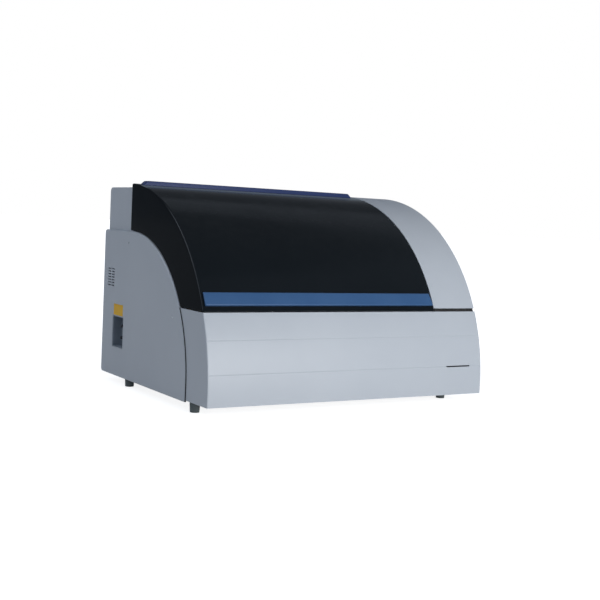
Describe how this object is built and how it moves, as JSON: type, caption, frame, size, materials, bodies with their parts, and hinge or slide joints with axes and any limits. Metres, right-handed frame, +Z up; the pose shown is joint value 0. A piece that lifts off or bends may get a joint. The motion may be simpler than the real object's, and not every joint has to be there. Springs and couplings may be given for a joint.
{
  "type": "benchtop chemistry analyzer",
  "caption": "Benchtop clinical chemistry analyzer with a swept smoked lid over a turning sample carousel, reaction rotor, probe and stirrer arms.",
  "frame": {"origin": "on the bench, below the middle of the instrument's outline", "axes": "+X to the instrument's right as seen from its front, +Y to its back, +Z up; the lid and the front cover face -Y"},
  "size_m": [0.86, 0.68, 0.5715],
  "materials": {
    "cover_paint": "satin, pale grey",
    "smoked_acrylic": "glossy, almost opaque smoke",
    "blue_trim": "satin blue",
    "foot_rubber": "matt dark grey",
    "frame_steel": "zinc plated sheet",
    "deck_white": "satin white",
    "dark_plastic": "matt dark grey",
    "black_metal": "satin black",
    "bright_steel": "polished",
    "belt_rubber": "matt black",
    "marker_yellow": "satin yellow, blank",
    "board_green": "solder resist green"
  },
  "bodies": {
    "chassis": {"base_tray": "frame_steel", "bath_ring": "black_metal", "carousel_belt": "belt_rubber", "carousel_motor": "black_metal", "control_board": "board_green", "cooler_bowl": "deck_white", "deck_plate": "deck_white", "divider_wall": "frame_steel", "fan_frame": "dark_plastic", "fan_guard": "bright_steel", "fluid_port_1": "bright_steel", "fluid_port_2": "bright_steel", "foot_front_left": "foot_rubber", "foot_front_right": "foot_rubber", "foot_rear_left": "foot_rubber", "foot_rear_right": "foot_rubber", "front_cover": "cover_paint", "hinge_bracket_left": "frame_steel", "hinge_bracket_right": "frame_steel", "left_frame": "frame_steel", "left_side_panel": "cover_paint", "marker_plate": "marker_yellow", "photometer_housing": "black_metal", "port_pocket": "dark_plastic", "power_inlet": "dark_plastic", "power_supply": "frame_steel", "probe_cup": "dark_plastic", "probe_guide": "bright_steel", "rear_bulkhead": "frame_steel", "rear_housing": "cover_paint", "rear_panel": "frame_steel", "right_cover": "cover_paint", "right_frame": "frame_steel", "right_side_panel": "cover_paint", "rotor_belt": "belt_rubber", "rotor_motor": "black_metal", "stirrer_cup": "dark_plastic", "stirrer_guide": "bright_steel", "switch_frame": "dark_plastic", "syringe_barrel": "deck_white", "wash_post": "bright_steel"},
    "lid": {"lid_shell": "smoked_acrylic", "lid_handle": "blue_trim", "lid_top_strip": "blue_trim", "hinge_leaf_left": "frame_steel", "hinge_leaf_right": "frame_steel"},
    "carousel": {"sample_carousel": "deck_white"},
    "carousel_drive": {"carousel_pinion": "bright_steel"},
    "rotor": {"reaction_rotor": "dark_plastic"},
    "rotor_drive": {"rotor_pinion": "bright_steel"},
    "probe_column": {"probe_shaft": "bright_steel"},
    "probe": {"probe_arm": "deck_white"},
    "stirrer_column": {"stirrer_shaft": "bright_steel"},
    "stirrer": {"stirrer_arm": "deck_white"},
    "paddle": {"stirrer_paddle": "bright_steel"},
    "wash": {"wash_head": "deck_white"},
    "plunger": {"syringe_plunger": "bright_steel"},
    "fan": {"fan_rotor": "dark_plastic"},
    "rocker": {"power_rocker": "dark_plastic"}
  },
  "joints": [
    {"name": "lid_hinge", "type": "hinge", "parent": "chassis", "child": "lid", "pos_m": [0, 0.1665, 0.55537], "axis": [-1, 0, 0], "range_deg": [0, 65]},
    {"name": "carousel_spin", "type": "hinge", "parent": "chassis", "child": "carousel", "pos_m": [-0.24577, -0.11023, 0.242], "axis": [0, 0, 1], "continuous": true},
    {"name": "carousel_drive_spin", "type": "hinge", "parent": "chassis", "child": "carousel_drive", "pos_m": [-0.04184, -0.22523, 0.1685], "axis": [0, 0, 1], "continuous": true},
    {"name": "rotor_spin", "type": "hinge", "parent": "chassis", "child": "rotor", "pos_m": [0.11208, -0.11023, 0.242], "axis": [0, 0, 1], "continuous": true},
    {"name": "rotor_drive_spin", "type": "hinge", "parent": "chassis", "child": "rotor_drive", "pos_m": [-0.04184, -0.06523, 0.1685], "axis": [0, 0, 1], "continuous": true},
    {"name": "probe_lift", "type": "slide", "parent": "chassis", "child": "probe_column", "axis": [0, 0, 1], "range_m": [0, 0.03]},
    {"name": "probe_swing", "type": "hinge", "parent": "probe_column", "child": "probe", "pos_m": [-0.04184, 0.025, 0.352], "axis": [0, 0, 1], "range_deg": [-65, 35]},
    {"name": "stirrer_lift", "type": "slide", "parent": "chassis", "child": "stirrer_column", "axis": [0, 0, 1], "range_m": [0, 0.03]},
    {"name": "stirrer_swing", "type": "hinge", "parent": "stirrer_column", "child": "stirrer", "pos_m": [0.251, 0.025, 0.352], "axis": [0, 0, 1], "range_deg": [-40, 0]},
    {"name": "paddle_spin", "type": "hinge", "parent": "stirrer", "child": "paddle", "pos_m": [0.251, -0.085, 0.352], "axis": [0, 0, 1], "continuous": true},
    {"name": "wash_lift", "type": "slide", "parent": "chassis", "child": "wash", "axis": [0, 0, 1], "range_m": [0, 0.03]},
    {"name": "plunger_slide", "type": "slide", "parent": "chassis", "child": "plunger", "axis": [0, 0, 1], "range_m": [0, 0.03]},
    {"name": "fan_spin", "type": "hinge", "parent": "chassis", "child": "fan", "pos_m": [-0.22, 0.3325, 0.257], "axis": [0, 1, 0], "continuous": true},
    {"name": "rocker_tilt", "type": "hinge", "parent": "chassis", "child": "rocker", "pos_m": [0.2175, 0.33095, 0.112], "axis": [1, 0, 0], "range_deg": [0, 24]}
  ],
  "couplings": [
    {"joint": "carousel_drive_spin", "follows": "carousel_spin", "ratio": 5},
    {"joint": "rotor_drive_spin", "follows": "rotor_spin", "ratio": 4}
  ]
}
